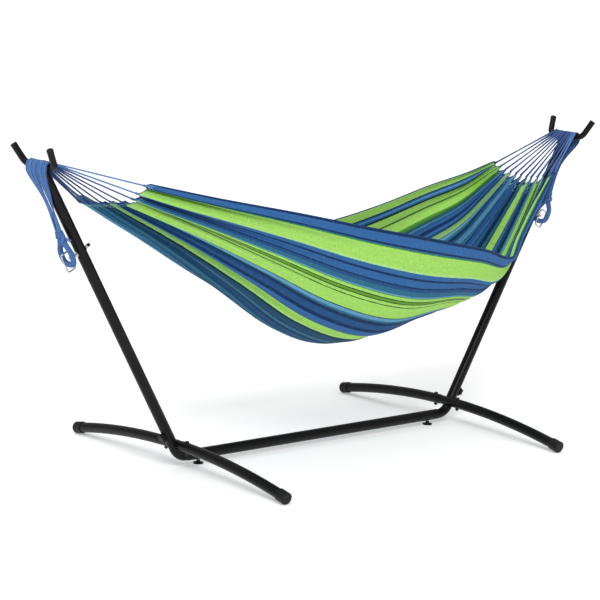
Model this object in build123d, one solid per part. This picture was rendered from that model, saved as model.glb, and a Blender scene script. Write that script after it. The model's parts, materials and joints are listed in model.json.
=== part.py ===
from build123d import *
import os
from math import cos, pi, radians, sin, sqrt

# A striped double hammock on a free-standing steel stand.
# X runs along the hammock, the foot end at -X and the head end at +X; Y runs across it; +Z is up.
# The origin is on the ground under the middle of the stand. All lengths are in millimetres.
# Every end piece is modelled for the right (+X) end and mirrored for the left.

# ---- stand: driving dimensions ----
TUBE_OD = 42.0                # base tube and posts
TUBE_WALL = 1.5
ELBOW_OD = 38.8               # slides inside the base tube and the post
FOOT_OD = 40.0
STUB_OD = 36.8                # welded cross stub, slides inside the foot tubes
CORNER_X = 706.0              # where the base axis and the post axis cross
BASE_AXIS_Z = 39.0
POST_LEAN = 29.75             # from the vertical
HOOK_BAR_S = 1314.0           # hook bar's axis, measured along the post from the corner
ELBOW_BEND_R = 65.0
ELBOW_IN_BASE_X = 560.0
ELBOW_IN_POST_S = 190.0
BASE_HALF_LENGTH = 660.0
POST_START_S = 68.0
POST_END_S = 1296.0

# ---- feet ----
FOOT_X = 715.0
FOOT_CROWN_Z = 89.0           # axis height where the foot crosses the elbow
FOOT_END_Y = 648.0            # outer face of the end cap
FOOT_START_Y = 38.0
STUB_END_Y = 120.0
CAP_R = 23.5
CAP_LENGTH = 45.0
FOOT_BOLT_Y = 64.0
FOOT_END_TILT = 11.6          # slope of the foot's axis at its end

# ---- hook bar ----
BAR_OD = 25.0
BAR_CORNER_Y = 90.0
BAR_TIP_Y = 112.0
BAR_TIP_RISE = 74.0
BAR_BEND_R = 30.0

# ---- fasteners ----
M8_R = 4.0
HOLE_M8_R = 4.1
NUT_M8_FLATS = 13.0
NUT_M8_HEIGHT = 6.5
KNOB_S = 110.0                # clamp knob, along the post
LEVELLER_X = 608.0
LEVELLER_STEM_R = 5.0
LEVELLER_HOLE_R = 5.1
EYEBOLT_S = 950.0
SPARE_HOLES_S = (833.0, 716.0, 604.0)
EYE_OFFSET = 41.0             # centre of the eye, out from the post's axis
EYE_R = 10.5
EYE_WIRE_R = 3.0

# ---- carabiner, in the plane of post direction and outboard direction ----
CARABINER_S = 945.0
CARABINER_SPINE = 44.5        # spine's offset from the post axis
CARABINER_WIDTH = 37.0        # between wire centres
CARABINER_HALF = 36.5
CARABINER_WIRE_R = 3.5
GATE_PIN_A = -23.0            # gate pivot, along the carabiner from its middle

# ---- clew: cords over the hook bar, tail, knot and eye loop ----
CLEW_HALF_WIDTH = 66.0
CLEW_THICKNESS = 6.0
KNOT_OFFSET = 50.0
KNOT_S = 1035.0
KNOT_R = 22.0
LOOP_OFFSET = 63.0
LOOP_S = 933.0
LOOP_ROPE_R = 10.0
LOOP_HALF_WIDTH = 31.0

# ---- fabric bed: edge, keel and edge at nine stations from the foot hem to the head hem ----
NEAR_EDGE = [(-1070, -230, 1130), (-800, -310, 1070), (-450, -360, 1000), (-100, -370, 925),
             (250, -360, 855), (580, -310, 785), (860, -200, 720), (1020, -110, 820), (1225, -80, 1055)]
KEEL = [(-1180, 0, 1050), (-930, -40, 905), (-620, -60, 705), (-320, -60, 515), (0, -10, 412),
        (330, 10, 465), (640, 0, 515), (890, 0, 635), (1155, 0, 1020)]
FAR_EDGE = [(-1100, 110, 1050), (-840, 170, 940), (-500, 220, 870), (-140, 250, 830), (200, 260, 840),
            (520, 270, 890), (800, 260, 960), (980, 220, 1010), (1110, 170, 1065)]
ROUNDNESS = [0.9, 0.9, 1.0, 1.0, 1.0, 1.0, 1.0, 0.9, 0.6]
FABRIC_THICKNESS = 3.0
HEM_PEAKS = 12                # gathered peaks along each hem, two cords to each
HEM_STEPS = 92                # the hem's length in equal steps, which place the peaks
PEAK_FIRST = 2
PEAK_STEP = 8
STRING_R = 1.6

FOOT_END_Z = CAP_R * cos(radians(FOOT_END_TILT))
FOOT_DROP = FOOT_CROWN_Z - FOOT_END_Z
FOOT_ARC_R = (FOOT_END_Y ** 2 + FOOT_DROP ** 2) / (2 * FOOT_DROP)

LEAN = radians(POST_LEAN)
ALONG = Vector(sin(LEAN), 0, cos(LEAN))       # up the right post
OUTBOARD = Vector(cos(LEAN), 0, -sin(LEAN))   # square to the post, away from the middle
ACROSS = Vector(0, 1, 0)
CORNER = Vector(CORNER_X, 0, BASE_AXIS_Z)


def on_post(s, offset=0.0, y=0.0):
    """A point given along the right post, outboard of its axis and across it."""
    return CORNER + ALONG * s + OUTBOARD * offset + ACROSS * y


def cylinder(start, end, radius):
    axis = end - start
    return Plane(origin=start, z_dir=axis) * extrude(Circle(radius), amount=axis.length)


def tube(start, end, outer_r, inner_r):
    overrun = (end - start).normalized()
    return cylinder(start, end, outer_r) - cylinder(start - overrun, end + overrun, inner_r)


def rod_along(path, radius):
    section = Plane(origin=path @ 0, z_dir=path % 0) * Circle(radius)
    return sweep(section, path=path)


def hex_nut(centre, axis, height, flats, bore_r):
    blank = extrude(RegularPolygon(flats / 2, 6, major_radius=False), amount=height)
    blank -= Pos(0, 0, -1) * extrude(Circle(bore_r), amount=height + 2)
    return Plane(origin=centre, z_dir=axis) * blank


def washer(centre, axis, thickness, outer_r, inner_r):
    return Plane(origin=centre, z_dir=axis) * extrude(Circle(outer_r) - Circle(inner_r), amount=thickness)


# ---------------------------------------------------------------- stand tubes
def base_tube():
    end = Vector(BASE_HALF_LENGTH, 0, BASE_AXIS_Z)
    start = Vector(-BASE_HALF_LENGTH, 0, BASE_AXIS_Z)
    body = tube(start, end, TUBE_OD / 2, TUBE_OD / 2 - TUBE_WALL)
    for x in (-LEVELLER_X, LEVELLER_X):
        body -= cylinder(Vector(x, 0, 0), Vector(x, 0, BASE_AXIS_Z), LEVELLER_HOLE_R)
    return body


def foot_axis(y):
    """A point on the foot's arched axis."""
    return Vector(FOOT_X, y, FOOT_CROWN_Z - FOOT_ARC_R + sqrt(FOOT_ARC_R ** 2 - y ** 2))


def foot_arc(y_from, y_to):
    return Edge.make_three_point_arc(foot_axis(y_from), foot_axis((y_from + y_to) / 2), foot_axis(y_to))


def foot_up(y):
    """Unit vector square to the foot's axis, pointing up."""
    centre = Vector(FOOT_X, 0, FOOT_CROWN_Z - FOOT_ARC_R)
    return (foot_axis(y) - centre).normalized()


def elbow():
    base_end = (ELBOW_IN_BASE_X, 0, BASE_AXIS_Z)
    path = FilletPolyline(base_end, CORNER, on_post(ELBOW_IN_POST_S), radius=ELBOW_BEND_R)
    outside = rod_along(path, ELBOW_OD / 2)
    bore = rod_along(path, ELBOW_OD / 2 - TUBE_WALL)
    stub = rod_along(foot_arc(-STUB_END_Y, STUB_END_Y), STUB_OD / 2)
    stub -= rod_along(foot_arc(-STUB_END_Y - 5, STUB_END_Y + 5), STUB_OD / 2 - TUBE_WALL)
    body = (outside + (stub - outside)) - bore
    for y in (-FOOT_BOLT_Y, FOOT_BOLT_Y):
        body -= cylinder(foot_axis(y) - foot_up(y) * 40, foot_axis(y) + foot_up(y) * 40, HOLE_M8_R)
    body -= cylinder(Vector(LEVELLER_X, 0, 0), Vector(LEVELLER_X, 0, BASE_AXIS_Z), LEVELLER_HOLE_R)
    body -= cylinder(on_post(KNOB_S), on_post(KNOB_S, 40), HOLE_M8_R)
    return body


def post():
    body = tube(on_post(POST_START_S), on_post(POST_END_S), TUBE_OD / 2, TUBE_OD / 2 - TUBE_WALL)
    body -= cylinder(on_post(KNOB_S), on_post(KNOB_S, 40), HOLE_M8_R)
    body -= cylinder(on_post(EYEBOLT_S, -40), on_post(EYEBOLT_S, 40), HOLE_M8_R)
    for s in SPARE_HOLES_S:
        body -= cylinder(on_post(s), on_post(s, 40), HOLE_M8_R)
    return body


def hook_bar():
    """U-shaped bar welded across a short spigot that fits in the post's top."""
    tip = HOOK_BAR_S + BAR_TIP_RISE
    path = FilletPolyline(
        on_post(tip, 0, -BAR_TIP_Y),
        on_post(HOOK_BAR_S, 0, -BAR_CORNER_Y),
        on_post(HOOK_BAR_S, 0, BAR_CORNER_Y),
        on_post(tip, 0, BAR_TIP_Y),
        radius=BAR_BEND_R,
    )
    spigot = cylinder(on_post(HOOK_BAR_S - 70), on_post(POST_END_S), ELBOW_OD / 2)
    spigot -= cylinder(on_post(HOOK_BAR_S - 71), on_post(HOOK_BAR_S - 22), ELBOW_OD / 2 - TUBE_WALL)
    neck = Plane(origin=on_post(POST_END_S), z_dir=ALONG) * Cone(
        ELBOW_OD / 2, 11, HOOK_BAR_S - POST_END_S, align=(Align.CENTER, Align.CENTER, Align.MIN)
    )
    return rod_along(path, BAR_OD / 2) + spigot + neck


def horn_plug():
    """Moulded plug over a horn's open end; the two plugs of one bar share this shape."""
    tip = on_post(HOOK_BAR_S + BAR_TIP_RISE, 0, BAR_TIP_Y)
    root = on_post(HOOK_BAR_S, 0, BAR_CORNER_Y)
    out = (tip - root).normalized()
    disc = cylinder(tip, tip + out * 6, BAR_OD / 2 + 0.5)
    return fillet(disc.edges().sort_by(lambda e: (e.center() - root).length)[-1], 3)


def foot_tube():
    body = rod_along(foot_arc(-FOOT_START_Y, -(FOOT_END_Y - 5)), FOOT_OD / 2)
    body -= rod_along(foot_arc(-FOOT_START_Y + 5, -FOOT_END_Y), FOOT_OD / 2 - TUBE_WALL)
    hole_from = foot_axis(-FOOT_BOLT_Y) - foot_up(-FOOT_BOLT_Y) * 40
    hole_to = foot_axis(-FOOT_BOLT_Y) + foot_up(-FOOT_BOLT_Y) * 40
    return body - cylinder(hole_from, hole_to, HOLE_M8_R)


def foot_cap():
    """Moulded cap over the foot's end, flattened where it meets the ground."""
    end = foot_axis(-FOOT_END_Y)
    inward = (foot_axis(-(FOOT_END_Y - CAP_LENGTH)) - end).normalized()
    body = cylinder(end, end + inward * CAP_LENGTH, CAP_R)
    body = fillet(body.edges().filter_by(GeomType.CIRCLE), 3)
    body -= rod_along(foot_arc(-(FOOT_END_Y - CAP_LENGTH - 5), -(FOOT_END_Y - 5)), FOOT_OD / 2)
    return body - Pos(FOOT_X, -FOOT_END_Y, -50) * Box(100, 200, 100)


# ---------------------------------------------------------------- fasteners
def foot_bolt(y):
    up = foot_up(y)
    head = foot_axis(y) + up * (FOOT_OD / 2 + 0.1)
    shank = cylinder(foot_axis(y) - up * 30, head, M8_R)
    button = fillet(cylinder(head, head + up * 6, 8.0).edges().group_by(Axis.Z)[-1], 3.5)
    return shank + button


def foot_nut(y):
    up = foot_up(y)
    start = foot_axis(y) - up * (FOOT_OD / 2 + 0.1)
    return hex_nut(start, up * -1, NUT_M8_HEIGHT, NUT_M8_FLATS, M8_R + 0.05)


def eyebolt():
    shank = cylinder(on_post(EYEBOLT_S, -40), on_post(EYEBOLT_S, EYE_OFFSET - EYE_R), M8_R)
    eye = Plane(origin=on_post(EYEBOLT_S, EYE_OFFSET), z_dir=ALONG) * Torus(EYE_R, EYE_WIRE_R)
    return shank + eye


def eyebolt_washers():
    outer = washer(on_post(EYEBOLT_S, TUBE_OD / 2 + 0.05), OUTBOARD, 2, 12, M8_R + 0.05)
    inner = washer(on_post(EYEBOLT_S, -TUBE_OD / 2 - 0.05), OUTBOARD * -1, 2, 10, M8_R + 0.05)
    return [outer, inner]


def eyebolt_nut():
    start = on_post(EYEBOLT_S, -TUBE_OD / 2 - 2.1)
    return hex_nut(start, OUTBOARD * -1, NUT_M8_HEIGHT, NUT_M8_FLATS, M8_R + 0.05)


def thread_cap():
    """Round plastic cap pushed over the bolt's end."""
    start = on_post(EYEBOLT_S, -TUBE_OD / 2 - 8.7)
    end = on_post(EYEBOLT_S, -TUBE_OD / 2 - 24)
    body = cylinder(start, end, 6.5)
    body = fillet(body.edges().sort_by(lambda e: (e.center() - start).length)[-1], 4)
    return body - cylinder(on_post(EYEBOLT_S, -40.1), on_post(EYEBOLT_S, 0), M8_R + 0.05)


def knob_head():
    """Star knob with rounded lobes."""
    lobes = 6
    outline = Circle(14.5)
    for n in range(lobes):
        turn = 2 * pi * n / lobes
        outline += Pos(14 * cos(turn), 14 * sin(turn)) * Circle(5)
    body = extrude(outline, amount=14)
    body = fillet(body.edges().group_by(Axis.Z)[-1], 1.5)
    body -= Pos(0, 0, -1) * Cylinder(M8_R, 9, align=(Align.CENTER, Align.CENTER, Align.MIN))
    return Plane(origin=on_post(KNOB_S, TUBE_OD / 2 + 0.6), z_dir=OUTBOARD) * body


def knob_stud():
    return cylinder(on_post(KNOB_S, 8), on_post(KNOB_S, TUBE_OD / 2 + 8.6), M8_R)


def leveller_pad():
    profile = Polyline((0, 0), (18, 0), (20, 2), (20, 5), (9, 8), (7.5, 10), (7.5, 16), (0, 16), close=True)
    body = revolve(make_face(Plane.XZ * profile), Axis.Z)
    body -= Pos(0, 0, 4) * Cylinder(LEVELLER_STEM_R, 20, align=(Align.CENTER, Align.CENTER, Align.MIN))
    return Pos(LEVELLER_X, 0, 0) * body


def leveller_stem():
    return cylinder(Vector(LEVELLER_X, 0, 4), Vector(LEVELLER_X, 0, BASE_AXIS_Z - 2), LEVELLER_STEM_R)


# ---------------------------------------------------------------- carabiner
def on_carabiner(a, b, y=0.0):
    """A point given along the carabiner from its middle and outboard from its spine."""
    return on_post(CARABINER_S + a, CARABINER_SPINE + b, y)


def carabiner_frame():
    path = FilletPolyline(
        on_carabiner(GATE_PIN_A + 5, CARABINER_WIDTH),
        on_carabiner(-CARABINER_HALF, CARABINER_WIDTH),
        on_carabiner(-CARABINER_HALF, 0),
        on_carabiner(CARABINER_HALF, 0),
        on_carabiner(CARABINER_HALF, CARABINER_WIDTH),
        on_carabiner(21, CARABINER_WIDTH),
        radius=8.5,
    )
    body = rod_along(path, CARABINER_WIRE_R)
    slot = Plane(origin=on_carabiner(GATE_PIN_A, CARABINER_WIDTH), x_dir=OUTBOARD, z_dir=ALONG)
    body -= slot * Box(10, 2.8, 10)
    pin_y = CARABINER_WIRE_R + 0.5
    pin_from = on_carabiner(GATE_PIN_A, CARABINER_WIDTH, -pin_y)
    pin_to = on_carabiner(GATE_PIN_A, CARABINER_WIDTH, pin_y)
    return body + cylinder(pin_from, pin_to, 1.25)


def carabiner_gate():
    arm = cylinder(on_carabiner(-16.5, CARABINER_WIDTH), on_carabiner(20.2, CARABINER_WIDTH), 3.0)
    tongue_plane = Plane(origin=on_carabiner(GATE_PIN_A, CARABINER_WIDTH, -1.1), x_dir=ALONG, z_dir=ACROSS)
    tongue = extrude(Circle(2.8) + Pos(5, 0) * Rectangle(10, 5.0), amount=2.2)
    gate = arm + tongue_plane * tongue
    pin_from = on_carabiner(GATE_PIN_A, CARABINER_WIDTH, -5)
    pin_to = on_carabiner(GATE_PIN_A, CARABINER_WIDTH, 5)
    return gate - cylinder(pin_from, pin_to, 1.3)


# ---------------------------------------------------------------- clew tail
LOOP_BOTTOM = on_post(LOOP_S, LOOP_OFFSET)
KNOT_CENTRE = on_post(KNOT_S, KNOT_OFFSET)
HANG = (KNOT_CENTRE - LOOP_BOTTOM).normalized()      # up the eye loop, towards the knot
TAIL_WAY = OUTBOARD * sin(radians(24.5)) - ALONG * cos(radians(24.5))    # cords leaving the hook bar
WRAP_END = Vector(0, 0, 1).rotate(Axis.Y, -5)        # from the bar's axis to the wrap's inboard end


def on_loop(y, up):
    return LOOP_BOTTOM + HANG * up + ACROSS * y


def knot_body():
    plane = Plane(origin=KNOT_CENTRE, x_dir=ACROSS, z_dir=HANG)
    ball = scale(Sphere(KNOT_R), by=(1.0, 0.9, 1.15))
    collar = Pos(0, 0, 18) * Cylinder(17, 22)
    return plane * (ball + collar)


def eye_loop():
    w = LOOP_HALF_WIDTH
    path = FilletPolyline(
        on_loop(-9, 92),
        on_loop(-w, 52),
        on_loop(-w, 0),
        on_loop(w, 0),
        on_loop(w, 52),
        on_loop(9, 92),
        radius=[35, 29, 29, 35],
    )
    return rod_along(path, LOOP_ROPE_R) - knot_body()


def rope_end():
    """Frayed end of the whipping, a short tuft beside the knot."""
    root = KNOT_CENTRE + HANG * 4 + ACROSS * -17 - OUTBOARD * 8
    way = (ACROSS * -0.75 - OUTBOARD * 0.15 - HANG * 0.55).normalized()
    plane = Plane(origin=root, z_dir=way)
    return plane * Cone(3.5, 6.0, 26, align=(Align.CENTER, Align.CENTER, Align.MIN)) - knot_body()


def clew_tail():
    """The cords' flat bundle: round the hook bar, out past the post's top, then down to the knot."""
    wrap_r = BAR_OD / 2 + 0.4 + CLEW_THICKNESS / 2
    bar_centre = on_post(HOOK_BAR_S)
    off_bar = TAIL_WAY.cross(ACROSS) * wrap_r
    leave = bar_centre + off_bar
    past_post = leave + TAIL_WAY * 29
    knot_top = KNOT_CENTRE + HANG * 29
    down = (knot_top - past_post).normalized()
    halfway = (past_post + knot_top) * 0.5
    sections = [
        Plane(origin=leave, x_dir=ACROSS, z_dir=TAIL_WAY) * Rectangle(2 * CLEW_HALF_WIDTH, CLEW_THICKNESS),
        Plane(origin=past_post, x_dir=ACROSS, z_dir=down) * Rectangle(1.9 * CLEW_HALF_WIDTH, CLEW_THICKNESS),
        Plane(origin=halfway, x_dir=ACROSS, z_dir=down) * Rectangle(1.2 * CLEW_HALF_WIDTH, 12),
        Plane(origin=knot_top, x_dir=ACROSS, z_dir=down) * Rectangle(32, 26),
    ]
    tail = loft(sections, ruled=True)
    turn = off_bar.get_angle(WRAP_END)
    wrap = revolve(sections[0], Axis(bar_centre, ACROSS), -turn)
    return (tail + wrap) - knot_body()


# ---------------------------------------------------------------- fabric bed and clew strings
def along_stations(values, t):
    """Smooth curve through values spaced evenly over t = 0..1."""
    spans = len(values) - 1
    i = min(int(t * spans), spans - 1)
    a = t * spans - i
    p1, p2 = values[i], values[i + 1]
    p0 = values[i - 1] if i > 0 else p1 * 2 - p2
    p3 = values[i + 2] if i + 2 <= spans else p2 * 2 - p1
    return (p1 * 2 + (p2 - p0) * a + (p0 * 2 - p1 * 5 + p2 * 4 - p3) * a ** 2
            + (p1 * 3 - p0 - p2 * 3 + p3) * a ** 3) * 0.5


def bed_section(t, steps=24):
    """Points across the trough at t, from the near edge over the keel to the far edge."""
    near = along_stations([Vector(p) for p in NEAR_EDGE], t)
    keel = along_stations([Vector(p) for p in KEEL], t)
    far = along_stations([Vector(p) for p in FAR_EDGE], t)
    roundness = along_stations(ROUNDNESS, t)
    points = []
    for edge, ratios in ((near, range(steps, 0, -1)), (far, range(0, steps + 1))):
        for n in ratios:
            share = n / steps
            out = (1 - roundness) * share + roundness * sin(share * pi / 2)
            rise = (1 - roundness) * share + roundness * (1 - cos(share * pi / 2))
            way = edge - keel
            points.append(keel + Vector(way.X * share, way.Y * out, way.Z * rise))
    return points


def spaced(points, count):
    """The same curve as count + 1 points at even spacing."""
    lengths = [0.0]
    for a, b in zip(points, points[1:]):
        lengths.append(lengths[-1] + (b - a).length)
    result = []
    i = 0
    for n in range(count + 1):
        wanted = lengths[-1] * n / count
        while i < len(points) - 2 and lengths[i + 1] < wanted:
            i += 1
        share = (wanted - lengths[i]) / (lengths[i + 1] - lengths[i])
        result.append(points[i] + (points[i + 1] - points[i]) * share)
    return result


def fabric_bed(rows=16, columns=12):
    grid = [spaced(bed_section(row / rows), columns) for row in range(rows + 1)]
    surface = Face.make_surface_from_array_of_points(grid, tol=1.0)
    return Solid.thicken(surface, FABRIC_THICKNESS)


def clew_strings(t, side):
    """Taut cords from the hook bar to the hem, two to each peak of the hem."""
    hem = spaced(bed_section(t), HEM_STEPS)
    bar_centre = on_post(HOOK_BAR_S)
    strings = []
    for peak in range(HEM_PEAKS):
        for twin in (-1, 1):
            place = 2 * peak + (1 + twin) / 2
            y = (place / (2 * HEM_PEAKS - 1) - 0.5) * 2 * (CLEW_HALF_WIDTH - 4)
            start = Vector(side * (bar_centre.X - 3), y, bar_centre.Z + BAR_OD / 2 + 5.5)
            end = hem[PEAK_FIRST + PEAK_STEP * peak] + ACROSS * (2.5 * twin)
            way = (end - start).normalized()
            strings.append(cylinder(start, end - way * 9, STRING_R))
    return strings


# ---------------------------------------------------------------- writing the nodes
def write(name, *shapes):
    solids = []
    for shape in shapes:
        solids.extend(shape.solids())
    export_step(Compound(label=name, children=solids), f"parts/{name}.step")


def both_ends(name, shapes):
    """Write one node for each end from shapes made for the right end."""
    write(f"{name}_right", *shapes)
    write(f"{name}_left", *[mirror(shape, about=Plane.YZ) for shape in shapes])


def main():
    os.makedirs("parts", exist_ok=True)
    write("base_tube", base_tube())
    both_ends("elbow", [elbow()])
    both_ends("post", [post()])
    both_ends("hook_bar", [hook_bar()])
    plug = horn_plug()
    both_ends("horn_plugs", [plug, mirror(plug, about=Plane.XZ)])

    front_tube = foot_tube()
    front_cap = foot_cap()
    both_ends("foot_tube_front", [front_tube])
    both_ends("foot_tube_rear", [mirror(front_tube, about=Plane.XZ)])
    both_ends("foot_cap_front", [front_cap])
    both_ends("foot_cap_rear", [mirror(front_cap, about=Plane.XZ)])
    both_ends("foot_bolts", [foot_bolt(-FOOT_BOLT_Y), foot_bolt(FOOT_BOLT_Y)])
    both_ends("foot_nuts", [foot_nut(-FOOT_BOLT_Y), foot_nut(FOOT_BOLT_Y)])

    both_ends("leveller_pad", [leveller_pad()])
    both_ends("leveller_stem", [leveller_stem()])
    both_ends("clamp_knob", [knob_head()])
    both_ends("clamp_knob_stud", [knob_stud()])

    both_ends("eyebolt", [eyebolt()])
    both_ends("eyebolt_washers", eyebolt_washers())
    both_ends("eyebolt_nut", [eyebolt_nut()])
    both_ends("eyebolt_cap", [thread_cap()])
    both_ends("carabiner_frame", [carabiner_frame()])
    both_ends("carabiner_gate", [carabiner_gate()])

    both_ends("clew_tail", [clew_tail()])
    both_ends("clew_knot", [knot_body()])
    both_ends("eye_loop", [eye_loop()])
    both_ends("rope_end", [rope_end()])

    write("fabric_bed", fabric_bed())
    write("clew_strings_left", *clew_strings(0.0, -1))
    write("clew_strings_right", *clew_strings(1.0, 1))


main()
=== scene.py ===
import json
import math

import bpy
import numpy as np
from mathutils import Matrix, Vector


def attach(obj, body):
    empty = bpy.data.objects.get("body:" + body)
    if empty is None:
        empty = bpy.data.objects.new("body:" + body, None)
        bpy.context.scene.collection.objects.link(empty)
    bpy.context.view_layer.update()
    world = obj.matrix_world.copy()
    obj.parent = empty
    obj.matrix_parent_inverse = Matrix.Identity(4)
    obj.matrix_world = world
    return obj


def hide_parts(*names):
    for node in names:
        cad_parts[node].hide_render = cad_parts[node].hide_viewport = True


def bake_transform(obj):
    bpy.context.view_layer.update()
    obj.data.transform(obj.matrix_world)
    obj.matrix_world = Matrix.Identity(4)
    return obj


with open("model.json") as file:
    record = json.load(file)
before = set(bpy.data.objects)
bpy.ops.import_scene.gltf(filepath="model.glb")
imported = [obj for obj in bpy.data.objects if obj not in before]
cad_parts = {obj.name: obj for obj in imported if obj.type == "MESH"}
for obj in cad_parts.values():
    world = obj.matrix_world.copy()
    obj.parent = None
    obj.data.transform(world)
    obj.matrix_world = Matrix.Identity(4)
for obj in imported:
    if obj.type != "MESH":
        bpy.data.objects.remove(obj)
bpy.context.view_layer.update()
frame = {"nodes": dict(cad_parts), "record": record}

# A striped cotton hammock with cord clews on a black steel stand.
# Metres. X runs along the hammock, head end at +X; Z is up; the origin is on the ground.

# ---- places shared with the CAD model ----
LEAN_DEGREES = 29.75          # of each post, from the vertical
TAIL_DEGREES = 24.5           # of each clew tail, from its post
LEAN = math.radians(LEAN_DEGREES)
ALONG = np.array([math.sin(LEAN), 0.0, math.cos(LEAN)])       # up the right post
OUTBOARD = np.array([math.cos(LEAN), 0.0, -math.sin(LEAN)])   # square to it, away from the middle
ACROSS = np.array([0.0, 1.0, 0.0])
CORNER = np.array([0.706, 0.0, 0.039])   # where the right post's axis meets the base tube's
HOOK_BAR_S = 1.314            # from there up to the hook bar
BAR_R = 0.0125

# the bed's two long edges and its lowest line, from the foot end to the head end
NEAR_EDGE = [(-1.07, -.23, 1.13), (-.80, -.31, 1.07), (-.45, -.36, 1.0), (-.10, -.37, .925),
             (.25, -.36, .855), (.58, -.31, .785), (.86, -.20, .72), (1.02, -.11, .82), (1.225, -.08, 1.055)]
KEEL = [(-1.18, 0, 1.05), (-.93, -.04, .905), (-.62, -.06, .705), (-.32, -.06, .515), (0, -.01, .412),
        (.33, .01, .465), (.64, 0, .515), (.89, 0, .635), (1.155, 0, 1.02)]
FAR_EDGE = [(-1.10, .11, 1.05), (-.84, .17, .94), (-.50, .22, .87), (-.14, .25, .83), (.20, .26, .84),
            (.52, .27, .89), (.80, .26, .96), (.98, .22, 1.01), (1.11, .17, 1.065)]
ROUNDNESS = [.9, .9, 1, 1, 1, 1, 1, .9, .6]   # of the bed's section: 0 is a V, 1 is a round trough

HEM_PEAKS = 12
PEAK_FIRST = 2 / 92           # share of the width at the first gathered peak
PEAK_STEP = 8 / 92
BED_LENGTH = 2.7              # nominal length along the bed, from t = 0 to t = 1
SCALLOP = 0.044               # how far the hem dips between two peaks
FOOT_PULL = 0.036             # how far the foot hem is drawn back beside its near corner
CLOTH_THICKNESS = 0.0012
FLAT_WIDTH = 1.30             # the cloth laid flat
FLAT_LENGTH = 2.65

SELVAGE_R = 0.0022            # the rolled long edges
HEM_R = 0.0017                # the bound hems
THREAD_R = 0.0005             # the stitches
STITCH_LIFT = 0.0009          # of a stitch from the middle of the cloth

CLEW_HALF_WIDTH = 0.062       # of the cords side by side on the hook bar
CORD_R = 0.0026
STRING_R = 0.0033             # the cords between bar and hem, thicker for their loose twist
BAR_GAP = 0.0022              # between the hook bar and the cords that lie over it


def on_post(s, offset=0.0):
    """A point s up the right post's axis and offset outboard of it."""
    return CORNER + ALONG * s + OUTBOARD * offset


BAR_CENTRE = on_post(HOOK_BAR_S)
KNOT_CENTRE = on_post(1.035, 0.050)
LOOP_BOTTOM = on_post(0.933, 0.063)
HANG = (KNOT_CENTRE - LOOP_BOTTOM) / np.linalg.norm(KNOT_CENTRE - LOOP_BOTTOM)   # up from eye to knot
TAIL_WAY = OUTBOARD * math.sin(math.radians(TAIL_DEGREES)) - ALONG * math.cos(math.radians(TAIL_DEGREES))


# ---------------------------------------------------------------- mesh helpers
def unit(v):
    v = np.asarray(v, float)
    return v / np.maximum(np.linalg.norm(v, axis=-1, keepdims=True), 1e-12)


def mesh_object(name, verts, faces, material, uvs=None):
    """A smooth-shaded mesh object. uvs holds one (u, v) per vertex."""
    mesh = bpy.data.meshes.new(name)
    verts = np.asarray(verts, np.float32)
    faces = np.asarray(faces, np.int32)
    mesh.vertices.add(len(verts))
    mesh.vertices.foreach_set("co", verts.ravel())
    mesh.loops.add(faces.size)
    mesh.loops.foreach_set("vertex_index", faces.ravel())
    mesh.polygons.add(len(faces))
    mesh.polygons.foreach_set("loop_start", np.arange(0, faces.size, faces.shape[1], dtype=np.int32))
    mesh.polygons.foreach_set("use_smooth", np.ones(len(faces), bool))
    mesh.update(calc_edges=True)
    mesh.validate()
    if uvs is not None:
        layer = mesh.uv_layers.new(name="cloth")
        index = np.empty(len(mesh.loops), np.int32)
        mesh.loops.foreach_get("vertex_index", index)
        layer.data.foreach_set("uv", np.asarray(uvs, np.float32)[index].ravel())
    mesh.materials.append(material)
    obj = bpy.data.objects.new(name, mesh)
    bpy.context.scene.collection.objects.link(obj)
    return obj


def path_frames(path):
    """Tangents and two square directions that turn as little as they can along the path."""
    path = np.asarray(path, float)
    tangent = unit(np.gradient(path, axis=0))
    side = np.empty_like(path)
    start = np.cross(tangent[0], [0.0, 0.0, 1.0])
    if np.linalg.norm(start) < 0.1:
        start = np.cross(tangent[0], [0.0, 1.0, 0.0])
    side[0] = unit(start)
    for i in range(1, len(path)):
        v = side[i - 1] - tangent[i] * np.dot(side[i - 1], tangent[i])
        side[i] = unit(v)
    return tangent, side, np.cross(tangent, side)


def path_length(path):
    """The distance along the path to each of its points."""
    return np.r_[0, np.cumsum(np.linalg.norm(np.diff(path, axis=0), axis=1))]


def evenly(path, step):
    """The path again with points about step apart."""
    path = np.asarray(path, float)
    s = path_length(path)
    count = max(3, int(s[-1] / step) + 1)
    wanted = np.linspace(0, s[-1], count)
    return np.stack([np.interp(wanted, s, path[:, k]) for k in range(3)], -1)


def curve_through(points, step):
    """Smooth curve through a few points, sampled about step apart."""
    points = np.asarray(points, float)
    padded = np.vstack([2 * points[0] - points[1], points, 2 * points[-1] - points[-2]])
    rows = []
    for i in range(1, len(padded) - 2):
        p0, p1, p2, p3 = padded[i - 1:i + 3]
        a = np.linspace(0, 1, 16, endpoint=False)[:, None]
        rows.append(0.5 * (2 * p1 + (p2 - p0) * a + (2 * p0 - 5 * p1 + 4 * p2 - p3) * a ** 2
                           + (3 * p1 - p0 - 3 * p2 + p3) * a ** 3))
    rows.append(points[-1:])
    return evenly(np.vstack(rows), step)


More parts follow.
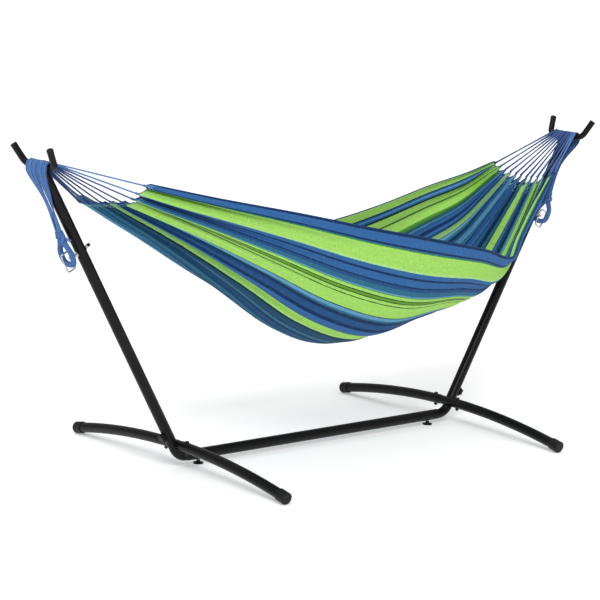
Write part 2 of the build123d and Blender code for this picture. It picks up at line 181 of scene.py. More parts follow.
class Tubes:
    """Collects round tubes and makes one mesh of them."""

    def __init__(self):
        self.verts, self.faces, self.uvs, self.count = [], [], [], 0

    def add(self, path, radius, sides=8, colour=0.5):
        """A tube with blunt ends. sides is even, because the faces that close it take two sides each."""
        path = np.asarray(path, float)
        tangent, side, up = path_frames(path)
        n = len(path)
        radius = np.broadcast_to(np.asarray(radius, float), (n,))
        angle = np.linspace(0, 2 * math.pi, sides, endpoint=False)
        ring = side[:, None] * np.cos(angle)[None, :, None] + up[:, None] * np.sin(angle)[None, :, None]
        verts = (path[:, None] + ring * radius[:, None, None]).reshape(-1, 3)
        i = np.arange(n - 1)[:, None] * sides
        j = np.arange(sides)[None]
        k = (j + 1) % sides
        quads = np.stack([i + j, i + k, i + sides + k, i + sides + j], -1).reshape(-1, 4)
        uvs = np.stack([np.repeat(path_length(path), sides), np.full(n * sides, colour)], -1)
        tip = 0.4                 # share of the radius by which the ends stand out
        ends = np.array([path[0] - tangent[0] * radius[0] * tip, path[-1] + tangent[-1] * radius[-1] * tip])
        first = n * sides
        last = first + 1
        base = (n - 1) * sides
        even = np.arange(0, sides, 2)
        odd = (even + 1) % sides
        after = (even + 2) % sides
        head = np.stack([np.full_like(even, first), after, odd, even], -1)
        tail = np.stack([np.full_like(even, last), base + even, base + odd, base + after], -1)
        verts = np.vstack([verts, ends])
        quads = np.vstack([quads, head, tail])
        uvs = np.vstack([uvs, [[0, colour], [1, colour]]])
        self.verts.append(verts)
        self.faces.append(quads + self.count)
        self.uvs.append(uvs)
        self.count += len(verts)

    def twisted(self, path, radius, strands, pitch, colour, step=0.0018, sides=8, phase=0.0):
        """A laid cord: strands that wind round the path."""
        path = evenly(path, step)
        _, side, up = path_frames(path)
        s = path_length(path)
        strand_r = radius * (0.56 if strands == 2 else 0.52)
        orbit = radius - strand_r
        for k in range(strands):
            turn = 2 * math.pi * (s / pitch + k / strands) + phase
            centre = path + (side * np.cos(turn)[:, None] + up * np.sin(turn)[:, None]) * orbit
            self.add(centre, strand_r, sides, colour)

    def winding(self, path, orbit, radius, pitch, colour=0.5, sides=6, per_turn=18):
        """A cord wound round a core that follows the path."""
        s_total = path_length(path)[-1]
        turns = s_total / pitch
        core = evenly(path, s_total / (turns * per_turn))
        _, side, up = path_frames(core)
        turn = 2 * math.pi * path_length(core) / pitch
        orbit = np.broadcast_to(np.asarray(orbit, float), (len(core),))
        line = core + (side * np.cos(turn)[:, None] + up * np.sin(turn)[:, None]) * orbit[:, None]
        self.add(line, radius, sides, colour)

    def object(self, name, material):
        return mesh_object(name, np.vstack(self.verts), np.vstack(self.faces), material, np.vstack(self.uvs))


def mirrored(path, side):
    """The right end's path, or its mirror image at the left end."""
    return np.asarray(path, float) * np.array([side, 1.0, 1.0])


# ---------------------------------------------------------------- node helpers
def srgb(code):
    """A colour from its six hex digits, as the linear values that Blender takes."""
    def linear(c):
        return c / 12.92 if c <= 0.04045 else ((c + 0.055) / 1.055) ** 2.4
    return tuple(linear(int(code[i:i + 2], 16) / 255) for i in (0, 2, 4)) + (1.0,)


class Nodes:
    """Short names for building one material's node tree."""

    def __init__(self, name):
        self.material = bpy.data.materials.new(name)
        self.material.use_nodes = True
        self.tree = self.material.node_tree
        self.tree.nodes.clear()
        self.shader = self.new("ShaderNodeBsdfPrincipled")
        output = self.new("ShaderNodeOutputMaterial")
        self.link(self.shader.outputs[0], output.inputs["Surface"])

    def new(self, kind, **settings):
        node = self.tree.nodes.new(kind)
        for key, value in settings.items():
            setattr(node, key, value)
        return node

    def link(self, a, b):
        self.tree.links.new(a, b)

    def put(self, value, socket):
        if isinstance(value, bpy.types.NodeSocket):
            self.link(value, socket)
        else:
            socket.default_value = value

    def set(self, **values):
        names = {
            "base": "Base Color", "roughness": "Roughness", "metallic": "Metallic", "normal": "Normal",
            "specular": "Specular IOR Level", "sheen": "Sheen Weight", "sheen_roughness": "Sheen Roughness",
            "sheen_tint": "Sheen Tint", "emission": "Emission Color",
            "emission_strength": "Emission Strength",
        }
        for key, value in values.items():
            self.put(value, self.shader.inputs[names[key]])

    def math(self, operation, a, b=None, clamp=False):
        node = self.new("ShaderNodeMath", operation=operation, use_clamp=clamp)
        for i, value in enumerate((a, b)):
            if value is not None:
                self.put(value, node.inputs[i])
        return node.outputs[0]

    def mix(self, factor, a, b, blend="MIX"):
        node = self.new("ShaderNodeMix", data_type="RGBA", blend_type=blend)
        self.put(factor, node.inputs[0])
        self.put(a, node.inputs[6])
        self.put(b, node.inputs[7])
        return node.outputs[2]

    def uv(self):
        node = self.new("ShaderNodeUVMap", uv_map="cloth")
        split = self.new("ShaderNodeSeparateXYZ")
        self.link(node.outputs[0], split.inputs[0])
        return split.outputs[0], split.outputs[1]

    def vector(self, x, y, z=0.0):
        node = self.new("ShaderNodeCombineXYZ")
        for i, value in enumerate((x, y, z)):
            self.put(value, node.inputs[i])
        return node.outputs[0]

    def noise(self, vector, scale, detail=3.0, roughness=0.5):
        node = self.new("ShaderNodeTexNoise")
        self.put(vector, node.inputs["Vector"])
        node.inputs["Scale"].default_value = scale
        node.inputs["Detail"].default_value = detail
        node.inputs["Roughness"].default_value = roughness
        return node.outputs["Fac"]

    def object_noise(self, scale, detail=3.0, roughness=0.5, stretch=(1, 1, 1)):
        coord = self.new("ShaderNodeTexCoord")
        mapping = self.new("ShaderNodeMapping")
        mapping.inputs["Scale"].default_value = stretch
        self.link(coord.outputs["Object"], mapping.inputs["Vector"])
        return self.noise(mapping.outputs[0], scale, detail, roughness)

    def ramp(self, factor, stops, interpolation="LINEAR"):
        node = self.new("ShaderNodeValToRGB")
        node.color_ramp.interpolation = interpolation
        elements = node.color_ramp.elements
        while len(elements) > 1:
            elements.remove(elements[-1])
        elements[0].position, elements[0].color = stops[0]
        for position, colour in stops[1:]:
            element = elements.new(position)
            element.color = colour
        self.put(factor, node.inputs[0])
        return node.outputs[0]

    def range(self, value, low, high, to_low=0.0, to_high=1.0):
        node = self.new("ShaderNodeMapRange")
        self.put(value, node.inputs[0])
        for i, number in enumerate((low, high, to_low, to_high)):
            node.inputs[i + 1].default_value = number
        return node.outputs[0]

    def bump(self, height, strength, distance):
        node = self.new("ShaderNodeBump")
        node.inputs["Strength"].default_value = strength
        node.inputs["Distance"].default_value = distance
        self.put(height, node.inputs["Height"])
        return node.outputs[0]


def grey(value):
    return (value, value, value, 1.0)


# ---------------------------------------------------------------- materials
COLOURS = {
    "navy": srgb("0c3059"), "royal": srgb("31649f"), "deep_royal": srgb("234f82"), "sky": srgb("6099be"),
    "teal": srgb("2d6988"), "deep_teal": srgb("1a486a"), "green": srgb("a2d965"), "pale": srgb("a9dd86"),
    "olive": srgb("62992c"), "deep_green": srgb("4f9437"), "ink": srgb("0d3026"),
}
# stripes from the near edge to the far edge: width, in about thousandths of the cloth's, and colour
STRIPES = [
    (8, "navy"), (30, "royal"), (6, "navy"), (4, "teal"), (3, "deep_green"), (56, "green"), (8, "pale"),
    (17, "royal"), (8, "navy"), (22, "royal"), (5, "navy"), (11, "deep_royal"), (16, "teal"), (5, "sky"),
    (3, "deep_green"), (10, "green"), (3, "ink"), (9, "olive"), (3, "ink"), (12, "green"), (3, "ink"),
    (46, "green"), (4, "ink"), (12, "sky"), (8, "teal"), (13, "navy"), (21, "deep_royal"), (13, "navy"),
    (27, "royal"), (4, "ink"), (34, "green"), (6, "pale"), (5, "ink"), (24, "deep_teal"), (9, "navy"),
    (16, "teal"), (12, "navy"), (14, "deep_royal"), (12, "deep_teal"), (13, "teal"), (19, "deep_teal"),
    (30, "royal"), (13, "navy"), (32, "teal"), (26, "sky"), (14, "royal"), (13, "navy"), (17, "teal"),
    (15, "sky"), (4, "ink"), (28, "pale"), (26, "royal"), (17, "navy"), (25, "royal"), (9, "sky"),
    (10, "teal"), (21, "deep_green"), (41, "green"), (4, "ink"), (6, "olive"), (4, "pale"), (24, "green"),
    (8, "ink"), (8, "royal"), (4, "sky"), (7, "royal"), (6, "navy"), (26, "green"), (8, "pale"),
]


RAMP_STOPS = 30               # a colour ramp takes at most 32


def stripe_edges():
    """Where each stripe starts, 0..1 across the cloth, and its colour."""
    total = sum(width for width, _ in STRIPES)
    start = 0.0
    edges = []
    for width, colour in STRIPES:
        edges.append((start / total, colour))
        start += width
    return edges


def stripes(nodes, v):
    """The cloth's stripes across v, in as many ramps as their number takes."""
    edges = stripe_edges()
    colour = None
    for first in range(0, len(edges), RAMP_STOPS):
        following = first + RAMP_STOPS
        part = edges[first:following]
        low = part[0][0]
        high = edges[following][0] if following < len(edges) else 1.0
        share = nodes.range(v, low, high)
        stops = [((edge - low) / (high - low), COLOURS[name]) for edge, name in part]
        piece = nodes.ramp(share, stops, "CONSTANT")
        if colour is None:
            colour = piece
        else:
            colour = nodes.mix(nodes.math("GREATER_THAN", v, low), colour, piece)
    return colour


WEFT_PITCH = 0.0021           # of the weave's ribs
WARP_PITCH = 0.0017


def cloth_material():
    """Striped cotton: soft stripe edges, uneven yarns, pale flecks, painted shade in the creases and a
    ribbed weave.
    """
    n = Nodes("striped cotton")
    u, v = n.uv()                       # u in metres along the cloth, v 0..1 across it
    across = n.math("MULTIPLY", v, FLAT_WIDTH)
    wander = n.noise(n.vector(n.math("MULTIPLY", u, 30.0), n.math("MULTIPLY", across, 240.0)), 1.0, 2.0)
    v_soft = n.math("ADD", v, n.math("MULTIPLY", n.math("SUBTRACT", wander, 0.5), 0.0022))
    base = stripes(n, v_soft)
    weft = n.noise(n.vector(n.math("MULTIPLY", u, 520.0), n.math("MULTIPLY", across, 40.0)), 1.0, 3.0, 0.6)
    warp = n.noise(n.vector(n.math("MULTIPLY", u, 9.0), n.math("MULTIPLY", across, 900.0)), 1.0, 3.0, 0.6)
    slub = n.noise(n.vector(n.math("MULTIPLY", u, 190.0), n.math("MULTIPLY", across, 70.0)), 1.0, 3.0, 0.7)
    heather = n.math("ADD", n.math("MULTIPLY", weft, 0.4), n.math("MULTIPLY", warp, 0.3))
    heather = n.math("ADD", heather, n.math("MULTIPLY", slub, 0.3))
    value = n.range(heather, 0.38, 0.62, 0.72, 1.20)
    shaded = n.mix(1.0, base, n.vector(value, value, value), "MULTIPLY")
    fleck = n.range(weft, 0.62, 0.74, 0.0, 0.22)
    colour = n.mix(fleck, shaded, srgb("d9e6c8"))
    # painted shade in the valleys between the gathered peaks, darker towards both hems
    place = n.math("DIVIDE", n.math("SUBTRACT", v, PEAK_FIRST), PEAK_STEP)
    valley = n.math("MULTIPLY", n.math("PINGPONG", place, 0.5), 2.0)
    at_foot = n.range(u, 0.10, 1.0, 1.0, 0.0)
    at_head = n.range(n.math("SUBTRACT", FLAT_LENGTH, u), 0.05, 0.6, 0.3, 0.0)
    painted_crease_shade = n.math("MULTIPLY", n.range(valley, 0.62, 1.0, 0.0, 0.62), n.math("MAXIMUM", at_foot, at_head))
    colour = n.mix(painted_crease_shade, colour, srgb("0c2b33"))
    n.set(base=colour, roughness=0.88, specular=0.14, sheen=0.05, sheen_roughness=0.45,
          sheen_tint=(0.85, 0.92, 1.0, 1.0))
    ribs_u = n.math("SINE", n.math("MULTIPLY", u, 2 * math.pi / WEFT_PITCH))
    ribs_v = n.math("SINE", n.math("MULTIPLY", across, 2 * math.pi / WARP_PITCH))
    weave = n.math("ADD", n.math("MULTIPLY", n.math("MULTIPLY", ribs_u, ribs_v), 0.5), heather)
    n.set(normal=n.bump(weave, 0.45, 0.0006))
    return n.material


def cord_material(name, dark, light, fuzz):
    """Twisted cotton cord. v of the uv map picks each cord's tone, partly painted shade on the right end's
    tail.
    """
    n = Nodes(name)
    _, v = n.uv()
    fibre = n.object_noise(900.0, 3.0, 0.6)
    patch = n.object_noise(38.0, 2.0, 0.5)
    tone = n.math("ADD", n.math("MULTIPLY", fibre, 0.35), n.math("MULTIPLY", patch, 0.25))
    share = n.math("ADD", n.math("SUBTRACT", tone, 0.3), v, clamp=True)
    n.set(base=n.ramp(share, [(0.0, srgb(dark)), (1.0, srgb(light))]), roughness=0.82, specular=0.2,
          sheen=fuzz, sheen_roughness=0.4, sheen_tint=(0.8, 0.88, 1.0, 1.0))
    n.set(normal=n.bump(fibre, 0.35, 0.0005))
    return n.material


def powder_coat():
    n = Nodes("black powder coat")
    peel = n.object_noise(420.0, 2.0, 0.5)
    cloud = n.object_noise(14.0, 3.0, 0.55)
    dust = n.object_noise(60.0, 4.0, 0.6)
    n.set(base=n.ramp(cloud, [(0.3, grey(0.0035)), (0.7, grey(0.0060))]),
          roughness=n.range(dust, 0.3, 0.7, 0.25, 0.34), specular=0.17, normal=n.bump(peel, 0.10, 0.0004))
    return n.material


def moulded_plastic():
    n = Nodes("black moulded plastic")
    grain = n.object_noise(1400.0, 2.0, 0.6)
    cloud = n.object_noise(25.0, 3.0, 0.5)
    n.set(base=n.ramp(cloud, [(0.3, grey(0.005)), (0.7, grey(0.009))]),
          roughness=n.range(cloud, 0.3, 0.7, 0.42, 0.52), specular=0.2, normal=n.bump(grain, 0.22, 0.0004))
    return n.material


def black_oxide():
    n = Nodes("black oxide steel")
    wear = n.object_noise(160.0, 4.0, 0.6)
    n.set(base=n.ramp(wear, [(0.45, grey(0.016)), (0.75, grey(0.045))]), metallic=0.7,
          roughness=n.range(wear, 0.3, 0.7, 0.30, 0.42), normal=n.bump(wear, 0.08, 0.0003))
    return n.material


def zinc_plate():
    n = Nodes("bright zinc")
    cloud = n.object_noise(120.0, 4.0, 0.6)
    scratch = n.object_noise(700.0, 2.0, 0.5, (1, 1, 0.12))
    n.set(base=n.ramp(cloud, [(0.3, (0.42, 0.43, 0.44, 1)), (0.7, (0.62, 0.63, 0.63, 1))]), metallic=1.0,
          roughness=n.range(cloud, 0.3, 0.7, 0.20, 0.34), normal=n.bump(scratch, 0.12, 0.0003))
    return n.material


# ---------------------------------------------------------------- the cloth's surface
def along_stations(values, t):
    """Smooth curve through values spaced evenly over t = 0..1; values (n,) or (n, 3), t (k,)."""
    values = np.asarray(values, float)
    if values.ndim == 1:
        values = values[:, None]
    spans = len(values) - 1
    i = np.clip((t * spans).astype(int), 0, spans - 1)
    a = (t * spans - i)[:, None]
    ends = np.vstack([2 * values[0] - values[1], values, 2 * values[-1] - values[-2]])
    p0, p1, p2, p3 = ends[i], ends[i + 1], ends[i + 2], ends[i + 3]
    return 0.5 * (2 * p1 + (p2 - p0) * a + (2 * p0 - 5 * p1 + 4 * p2 - p3) * a ** 2
                  + (3 * p1 - p0 - 3 * p2 + p3) * a ** 3)


SURFACE_ROWS = 321
SURFACE_COLUMNS = 161


def smooth_surface():
    """The bed without folds, as a grid of points: rows along it, columns across it."""
    t = np.linspace(0, 1, SURFACE_ROWS)
    near, keel, far = (along_stations(edge, t) for edge in (NEAR_EDGE, KEEL, FAR_EDGE))
    roundness = along_stations(ROUNDNESS, t)
    share = np.linspace(0, 1, 60)[None]
    out = (1 - roundness) * share + roundness * np.sin(share * math.pi / 2)
    rise = (1 - roundness) * share + roundness * (1 - np.cos(share * math.pi / 2))
    halves = []
    for edge in (near, far):
        way = (edge - keel)[:, None]
        lean = np.broadcast_to(share, out.shape)
        halves.append(keel[:, None] + way * np.stack([lean, out, rise], -1))
    section = np.concatenate([halves[0][:, ::-1], halves[1][:, 1:]], 1)
    grid = np.empty((SURFACE_ROWS, SURFACE_COLUMNS, 3))
    wanted = np.linspace(0, 1, SURFACE_COLUMNS)
    for row in range(SURFACE_ROWS):
        s = path_length(section[row])
        for k in range(3):
            grid[row, :, k] = np.interp(wanted * s[-1], s, section[row, :, k])
    return grid


SURFACE = smooth_surface()
ROW_WAY = unit(np.gradient(SURFACE, axis=0))
COLUMN_WAY = unit(np.gradient(SURFACE, axis=1))
OUTWARD = unit(np.cross(COLUMN_WAY, ROW_WAY))


def sample(field, t, v):
    """field read at t along and v across, both 0..1, arrays of one shape."""
    x = np.clip(t, 0, 1) * (SURFACE_ROWS - 1)
    y = np.clip(v, 0, 1) * (SURFACE_COLUMNS - 1)
    i = np.clip(x.astype(int), 0, SURFACE_ROWS - 2)
    j = np.clip(y.astype(int), 0, SURFACE_COLUMNS - 2)
    a = (x - i)[..., None]
    b = (y - j)[..., None]
    return ((field[i, j] * (1 - a) + field[i + 1, j] * a) * (1 - b)
            + (field[i, j + 1] * (1 - a) + field[i + 1, j + 1] * a) * b)


def from_peak(v):
    """0 on a gathered peak, 1 half-way between two."""
    place = (v - PEAK_FIRST) / PEAK_STEP
    return np.abs(place - np.round(place)) * 2


def scallop(v):
    """How far each hem dips between its gathered peaks."""
    inner = np.clip(from_peak(v), 0, 1)
    return SCALLOP * inner ** 0.85


def foot_pull(v):
    """How far the foot hem is drawn back beside its near corner."""
    return FOOT_PULL * np.exp(-((v - 0.25) / 0.085) ** 2)


def ripples(v, d, rate, seed, count):
    """A sum of waves across v that drift with d, the distance along the cloth."""
    random = np.random.default_rng(seed)
    total = np.zeros(np.broadcast(v, d).shape)
    for _ in range(count):
        f = rate * random.uniform(0.65, 1.35)
        drift = random.uniform(-1.6, 1.6)
        phase = random.uniform(0, 2 * math.pi)
        total += np.cos(2 * math.pi * f * v + phase + drift * d * 2.2)
    return total / math.sqrt(count)


# waves beside each hem: their number across the cloth, step of the seed, height, distance in which they
# fade away, distance in which they grow, least share of the height at the hem, and how many are summed
GATHER_WAVES = [
    (21.0, 1, 0.0022, 0.8, 0.06, 0.2, 7),
    (46.0, 3, 0.0013, 0.5, 0.03, 0.2, 5),
    (9.0, 2, 0.0030, 1.1, 0.15, 0.1, 7),
]


def folds(t, v):
    """How far the cloth stands out of its smooth surface, mostly from the gathers at both hems."""
    height = np.zeros(np.broadcast(t, v).shape)
    for end, seed in ((0, 11), (1, 23)):
        d = (t if end == 0 else 1 - t) * BED_LENGTH
        roll = np.sqrt(np.cos(math.pi * from_peak(v) / 2) ** 2 + 0.004) * 2 - 1.15
        reach = 0.70 + 0.25 * ripples(v, d * 0, 4.0, seed, 4)
        reach = np.clip(reach, 0.35, 1.2)
        fade = np.exp(-(d / reach) ** 2)
        grow = 0.0110 + 0.0050 * np.clip(d / 0.20, 0, 1)
        height += roll * fade * grow
        for rate, step, size, fades, grows, least, count in GATHER_WAVES:
            wave = ripples(v, d, rate, seed + step, count) * size * np.exp(-(d / fades) ** 2)
            height += wave * np.clip(d / grows, least, 1)
    height += ripples(v, t * BED_LENGTH, 5.0, 41, 7) * 0.0012
    rim = np.clip(np.minimum(v, 1 - v) / 0.02, 0.15, 1)
    return height * rim


def on_cloth(t, v, lift=0.0):
    """A point of the finished cloth; t runs 0..1 from scalloped hem to scalloped hem."""
    t, v = np.broadcast_arrays(np.asarray(t, float), np.asarray(v, float))
    head_gap = scallop(v) / BED_LENGTH
    foot_gap = head_gap + foot_pull(v) / BED_LENGTH
    place = foot_gap + (1 - foot_gap - head_gap) * t
    return sample(SURFACE, place, v) + sample(OUTWARD, place, v) * (folds(place, v) + lift)[..., None]


def make_cloth(material):
    """The cotton bed, with its rows closer together towards the hems."""
    rows, columns = 430, 300
    crowding = 0.55
    s = np.linspace(0, 1, rows)
    t = s - crowding * np.sin(2 * math.pi * s) / (2 * math.pi)
    v = np.linspace(0, 1, columns)
    grid_t, grid_v = np.meshgrid(t, v, indexing="ij")
    points = on_cloth(grid_t, grid_v).reshape(-1, 3)
    i = np.arange(rows - 1)[:, None] * columns
    j = np.arange(columns - 1)[None]
    faces = np.stack([i + j, i + columns + j, i + columns + j + 1, i + j + 1], -1).reshape(-1, 4)
    uvs = np.stack([grid_t * FLAT_LENGTH, grid_v], -1).reshape(-1, 2)
    cloth = mesh_object("hammock_cloth", points, faces, material, uvs)
    solid = cloth.modifiers.new("thickness", "SOLIDIFY")
    solid.thickness = CLOTH_THICKNESS
    solid.offset = 0.0
    return cloth


def make_edges(material):
    """Rolled selvage along both long edges and bound hems at both ends."""
    tubes = Tubes()
    t = np.linspace(0, 1, 420)
    for v in (0.0, 1.0):
        tubes.add(on_cloth(t, np.full_like(t, v)), SELVAGE_R, colour=0.2)
    v = np.linspace(0, 1, HEM_PEAKS * 40 + 1)
    for t_end in (0.0, 1.0):
        tubes.add(on_cloth(np.full_like(v, t_end), v), HEM_R, colour=0.4)
    return tubes.object("hammock_edges", material)


def make_stitches(material):
    """Rows of stitches across each hem's turned-over band, seen on both faces of the cloth."""
    tubes = Tubes()
    count = 300
    for end in (0.0, 1.0):
        for depth in (0.013, 0.017, 0.030):
            for k in range(count):
                v0 = (k + 0.15) / count
                v1 = (k + 0.80) / count
                t = depth / BED_LENGTH if end == 0.0 else 1 - depth / BED_LENGTH
                v = np.linspace(v0, v1, 4)
                for lift in (STITCH_LIFT, -STITCH_LIFT):
                    tubes.add(on_cloth(np.full_like(v, t), v, lift), THREAD_R, sides=6, colour=0.8)
    return tubes.object("hammock_stitches", material)


# ---------------------------------------------------------------- cords
def peak_tip(end, k):
    """Tip of gathered peak k of the foot hem, end 0, or the head hem, end 1."""
    v = np.array([PEAK_FIRST + PEAK_STEP * k])
    return on_cloth(np.array([float(end)]), v)[0]


def bar_point(side, y, angle, radius):
    """A point round the hook bar; angle 0 is its top, positive leans inboard."""
    centre = mirrored(BAR_CENTRE, side)
    return centre + np.array([-side * math.sin(angle) * radius, y, math.cos(angle) * radius])


def string_places():
    """Each of the 24 cords, two to a peak: its peak, which of the two it is, and its y on the bar."""
    places = []
    for k in range(HEM_PEAKS):
        for twin in (0, 1):
            n = 2 * k + twin
            y = (n / (2 * HEM_PEAKS - 1) - 0.5) * 2 * CLEW_HALF_WIDTH
            places.append((k, twin, y))
    return places


def string_leave(side, tip):
    """Where a taut cord from the tip meets the bar: its angle inboard of the top, and its radius."""
    radius = BAR_R + BAR_GAP + CORD_R
    centre = mirrored(BAR_CENTRE, side)
    flat = np.array([(tip[0] - centre[0]) * -side, tip[2] - centre[2]])
    distance = np.linalg.norm(flat)
    slope = math.atan2(flat[1], flat[0])
    return math.pi / 2 - (slope + math.acos(radius / distance)), radius


def make_strings(end, side, material):
    """Taut cords from the hook bar to the hem, two side by side at each peak."""
    tubes = Tubes()
    for k, twin, y in string_places():
        tip = peak_tip(end, k)
        angle, radius = string_leave(side, tip)
        start = bar_point(side, y, angle - 0.12, radius)
        touch = bar_point(side, y, angle, radius)
        way = unit(touch - tip)
        sideways = unit(np.cross(way, [0, 0, 1.0]))
        gap = (twin * 2 - 1) * 0.0038
        tail = tip + sideways * gap - way * 0.012
        grip = tip + sideways * gap * 0.8 + way * 0.004
        line = curve_through([start, touch, touch + (grip - touch) * 0.5, grip, tail], 0.003)
        tone = 0.75 - 0.25 * twin if k < 2 else 0.10 + 0.32 * ((k * 7 + twin * 3) % 5) / 4
        tubes.twisted(line, STRING_R, strands=2, pitch=0.013, colour=tone, phase=k * 1.3 + twin)
    return tubes.object("clew_strings_" + end_name(side), material)


def make_tip_loops(end, side, material):
    """Whippings that bind each gathered peak to its pair of cords."""
    tubes = Tubes()
    for k in range(HEM_PEAKS):
        tip = peak_tip(end, k)
        way = unit(bar_point(side, 0, 0, BAR_R) - tip)
        line = np.stack([tip - way * 0.006, tip + way * 0.002])
        tubes.winding(evenly(line, 0.0005), orbit=0.0040, radius=0.0008, pitch=0.0017, colour=0.25)
    return tubes.object("clew_tips_" + end_name(side), material)


def end_name(side):
    return "right" if side > 0 else "left"


def make_tail(end, side, material):
    """The same cords over the bar, down to the collar; the two halves cross on the way."""
    tubes = Tubes()
    leave_angle = -math.radians(90 + LEAN_DEGREES - TAIL_DEGREES)
    for k, twin, y in string_places():
        tip = peak_tip(end, k)
        inboard, radius = string_leave(side, tip)
        angles = np.linspace(inboard, leave_angle, 22)
        wrap = [bar_point(side, y, a, radius) for a in angles]
        half = 1 if y > 0 else -1
        leave = wrap[-1]
        way = mirrored(TAIL_WAY, side)
        out = mirrored(OUTBOARD, side)
        knot_top = mirrored(KNOT_CENTRE + HANG * 0.030, side)
        knot_in = mirrored(KNOT_CENTRE + HANG * 0.006, side)
        turn = 2 * math.pi * (0.5 + y / CLEW_HALF_WIDTH * 0.45)
        ring = out * math.cos(turn) * 0.0095 - ACROSS * math.sin(turn) * 0.0095
        middle = leave + (knot_top - leave) * 0.52 + out * half * 0.0042
        middle[1] = y * 0.30 - half * 0.002
        high = leave + way * 0.030
        high[1] = y * 0.93
        path = curve_through([leave, high, middle, knot_top + ring, knot_in + ring * 0.7], 0.003)
        # the right end's cords start darker than the left's as painted shade; the rest of the tone differs
        # from cord to cord
        tone = (0.15 if side > 0 else 0.30) + 0.45 * ((k * 5 + twin * 2) % 6) / 5
        whole = np.vstack([np.array(wrap[:-1]), path])
        tubes.twisted(whole, CORD_R, strands=2, pitch=0.012, colour=tone, phase=k + twin)
    return tubes.object("clew_tail_" + end_name(side) + "_cords", material)


def make_knot(side, material):
    """Collar of turns above a stopper knot."""
    tubes = Tubes()
    collar = np.array([mirrored(KNOT_CENTRE + HANG * h, side) for h in np.linspace(0.010, 0.029, 20)])
    tubes.winding(collar, orbit=0.0135, radius=0.0023, pitch=0.0043, colour=0.45, sides=8, per_turn=24)
    core = np.array([mirrored(KNOT_CENTRE + HANG * h, side) for h in np.linspace(-0.016, 0.027, 30)])
    tubes.add(core, radius=0.0120, sides=12, colour=0.3)
    turn = np.linspace(0, 2 * math.pi, 160)
    size = 0.0058
    a = size * (np.sin(turn) + 2 * np.sin(2 * turn))
    b = size * (np.cos(turn) - 2 * np.cos(2 * turn)) * 0.95
    c = -size * 1.5 * np.sin(3 * turn)
    through = unit(np.cross(ACROSS, HANG))
    line = KNOT_CENTRE + ACROSS * a[:, None] + HANG * (b[:, None] - 0.002) + through * c[:, None]
    tubes.twisted(mirrored(line, side), radius=0.0074, strands=3, pitch=0.024, colour=0.5, step=0.0015,
                  sides=10)
    return tubes.object("clew_knot_" + end_name(side) + "_rope", material)


def rounded(points, trims, step):
    """Straight runs joined by smooth corners, each of which starts its trim before the corner's point."""
    points = np.asarray(points, float)
    line = [points[0]]
    for i in range(1, len(points) - 1):
        before = points[i] + unit(points[i - 1] - points[i]) * trims[i - 1]
        after = points[i] + unit(points[i + 1] - points[i]) * trims[i - 1]
        a = np.linspace(0, 1, 14)[:, None]
        line.extend(before * (1 - a) ** 2 + points[i] * 2 * a * (1 - a) + after * a ** 2)
    line.append(points[-1])
    return evenly(np.array(line), step)


def loop_path():
    """The right end's rope eye: down from one side of its throat, round, and up to the other."""
    def on_loop(y, up):
        return LOOP_BOTTOM + HANG * up + ACROSS * y
    half = 0.034                  # half of its width
    shoulder = 0.052              # heights above its bottom
    throat = 0.096
    points = [
        on_loop(-0.006, throat), on_loop(-half, shoulder), on_loop(-half, 0),
        on_loop(half, 0), on_loop(half, shoulder), on_loop(0.006, throat),
    ]
    return rounded(points, [0.014, 0.029, 0.029, 0.014], 0.002)


def make_eye_loop(side, material):
    """Rope eye served with a fine cord."""
    tubes = Tubes()
    path = mirrored(loop_path(), side)
    tubes.add(path, radius=0.0088, sides=14, colour=0.3)
    tubes.winding(path, orbit=0.0093, radius=0.00135, pitch=0.0027, per_turn=20)
    return tubes.object("eye_loop_" + end_name(side) + "_rope", material)


def make_tuft(side, material):
    """Frayed strands beside the knot."""
    tubes = Tubes()
    random = np.random.default_rng(5)
    root = KNOT_CENTRE + HANG * 0.004 - ACROSS * 0.017 - OUTBOARD * 0.008
    way = unit(-ACROSS * 0.75 - OUTBOARD * 0.15 - HANG * 0.55)
    one = unit(np.cross(way, HANG))
    two = np.cross(way, one)
    sway = 0.0012
    for _ in range(44):
        a = random.uniform(0, 2 * math.pi)
        spread = math.sqrt(random.uniform(0, 1)) * 0.0058
        length = random.uniform(0.017, 0.026)
        outward = one * math.cos(a) + two * math.sin(a)
        start = root + outward * spread * 0.35
        end = root + way * length + outward * spread - HANG * 0.002
        bend = (start + end) / 2 + one * random.uniform(-sway, sway)
        bend = bend + two * random.uniform(-sway, sway)
        strand = mirrored(curve_through([start, bend, end], 0.002), side)
        tubes.add(strand, radius=0.00055, sides=6, colour=random.uniform(0.2, 0.9))
    return tubes.object("rope_end_" + end_name(side) + "_tuft", material)


# ---------------------------------------------------------------- build
def carry_over(slot_materials):
    """Give every CAD node that stays its procedural material."""
    by_node = {part["node"]: part["material_slot"] for part in frame["record"]["subparts"]}
    for name, obj in frame["nodes"].items():
        material = slot_materials.get(by_node[name])
        if material is None:
            continue
        if not obj.material_slots:
            obj.data.materials.append(material)
        for slot in obj.material_slots:
            slot.material = material


def build_bed(cotton, binding, thread):
    """The cloth with its edges and stitches, all on the body that swings."""
    cloth = make_cloth(cotton)
    edges = make_edges(binding)
    stitches = make_stitches(thread)
    for piece in (cloth, edges, stitches):
        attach(piece, "hammock")
    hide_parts("fabric_bed")
    return cloth, edges, stitches


def build_clew(end, side, cord, string, fray):
    """The cords at one end: the taut strings between the stand and the bed."""
    name = end_name(side)
    strings = make_strings(end, side, string)
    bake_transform(strings)
    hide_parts("clew_strings_" + name)
    tips = make_tip_loops(end, side, string)
    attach(tips, "hammock")
    for piece, node in ((make_tail(end, side, cord), "clew_tail_"), (make_knot(side, cord), "clew_knot_"),
                        (make_eye_loop(side, cord), "eye_loop_"), (make_tuft(side, fray), "rope_end_")):
        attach(piece, "stand")
        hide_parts(node + name)


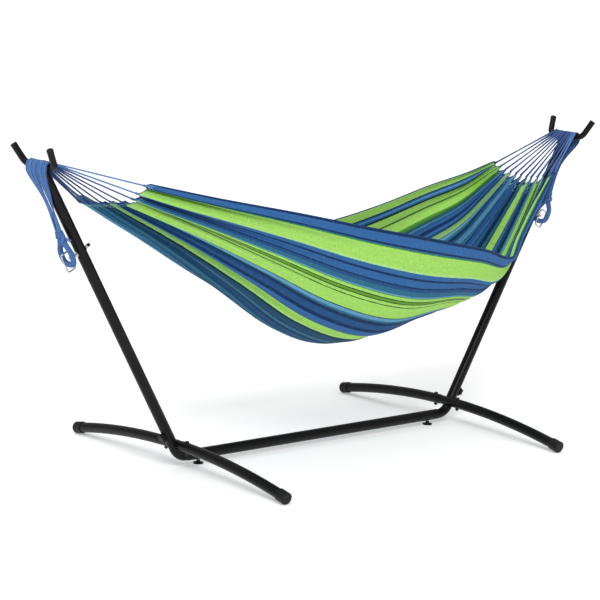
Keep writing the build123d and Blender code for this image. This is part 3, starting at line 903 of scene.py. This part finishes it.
def build():
    """Make every soft piece, and give the CAD pieces that stay their materials."""
    cotton = cloth_material()
    cord = cord_material("blue twisted cord", "123572", "6c9bd8", 0.12)
    string = cord_material("clew cord", "11285a", "6d94d4", 0.05)
    binding = cord_material("hem binding", "0d2c58", "3f68ab", 0.05)
    thread = cord_material("hem thread", "2f7f8f", "bfe6d8", 0.1)
    fray = cord_material("frayed cord", "5a62b0", "a9b4ea", 0.4)
    carry_over({
        "black_steel": powder_coat(), "black_plastic": moulded_plastic(),
        "black_hardware": black_oxide(), "zinc_hardware": zinc_plate(),
    })
    cloth, edges, stitches = build_bed(cotton, binding, thread)
    for end, side in ((0, -1), (1, 1)):
        build_clew(end, side, cord, string, fray)


# ---------------------------------------------------------------- floor, light and camera
def make_floor():
    n = Nodes("pale floor")
    n.set(base=n.ramp(n.object_noise(2.0, 3.0, 0.5), [(0.3, grey(0.91)), (0.7, grey(0.93))]),
          roughness=0.75, specular=0.1, emission=grey(1.0), emission_strength=0.26)
    size = 30.0
    corners = [(-size, -size, 0), (size, -size, 0), (size, size, 0), (-size, size, 0)]
    floor = mesh_object("floor", corners, [(0, 1, 2, 3)], n.material)


def sun(name, came_from, strength, spread):
    """A distant lamp shining from the direction came_from; spread is its angle in degrees."""
    data = bpy.data.lights.new(name, "SUN")
    data.energy = strength
    data.angle = math.radians(spread)
    light = bpy.data.objects.new(name, data)
    bpy.context.scene.collection.objects.link(light)
    light.rotation_euler = Vector(came_from).to_track_quat("Z", "Y").to_euler()


def make_light():
    """Soft studio light: a surround that shows whiter than it lights, and three distant lamps."""
    world = bpy.data.worlds.new("studio")
    bpy.context.scene.world = world
    world.use_nodes = True
    tree = world.node_tree
    background = tree.nodes["Background"]
    background.inputs["Color"].default_value = grey(1.0)
    seen = tree.nodes.new("ShaderNodeLightPath")
    strength = tree.nodes.new("ShaderNodeMapRange")
    strength.inputs["To Min"].default_value = 0.43
    strength.inputs["To Max"].default_value = 1.0
    tree.links.new(seen.outputs["Is Camera Ray"], strength.inputs["Value"])
    tree.links.new(strength.outputs[0], background.inputs["Strength"])
    sun("key", (-0.55, -0.62, 0.75), strength=1.45, spread=22)
    sun("top", (-0.25, 0.10, 1.0), strength=0.90, spread=60)
    sun("glint", (-0.10, -0.75, 0.42), strength=0.25, spread=4)


def make_camera():
    """The photograph's viewing angle, from the foot end's near side."""
    data = bpy.data.cameras.new("camera")
    data.sensor_width = 36.0
    data.lens = 135.4
    data.clip_end = 200
    camera = bpy.data.objects.new("camera", data)
    bpy.context.scene.collection.objects.link(camera)
    right = Vector((0.7565, -0.6529, 0.0373))
    up = Vector((0.0865, 0.1564, 0.9839))
    back = right.cross(up).normalized()
    up = back.cross(right).normalized()
    turn = Matrix((right.normalized(), up, back)).transposed()
    camera.matrix_world = Matrix.Translation((-5.85, -6.548, 2.136)) @ turn.to_4x4()
    bpy.context.scene.camera = camera


build()
make_floor()
make_light()
make_camera()
bpy.context.scene.view_settings.view_transform = "Standard"
bpy.context.scene.view_settings.look = "None"
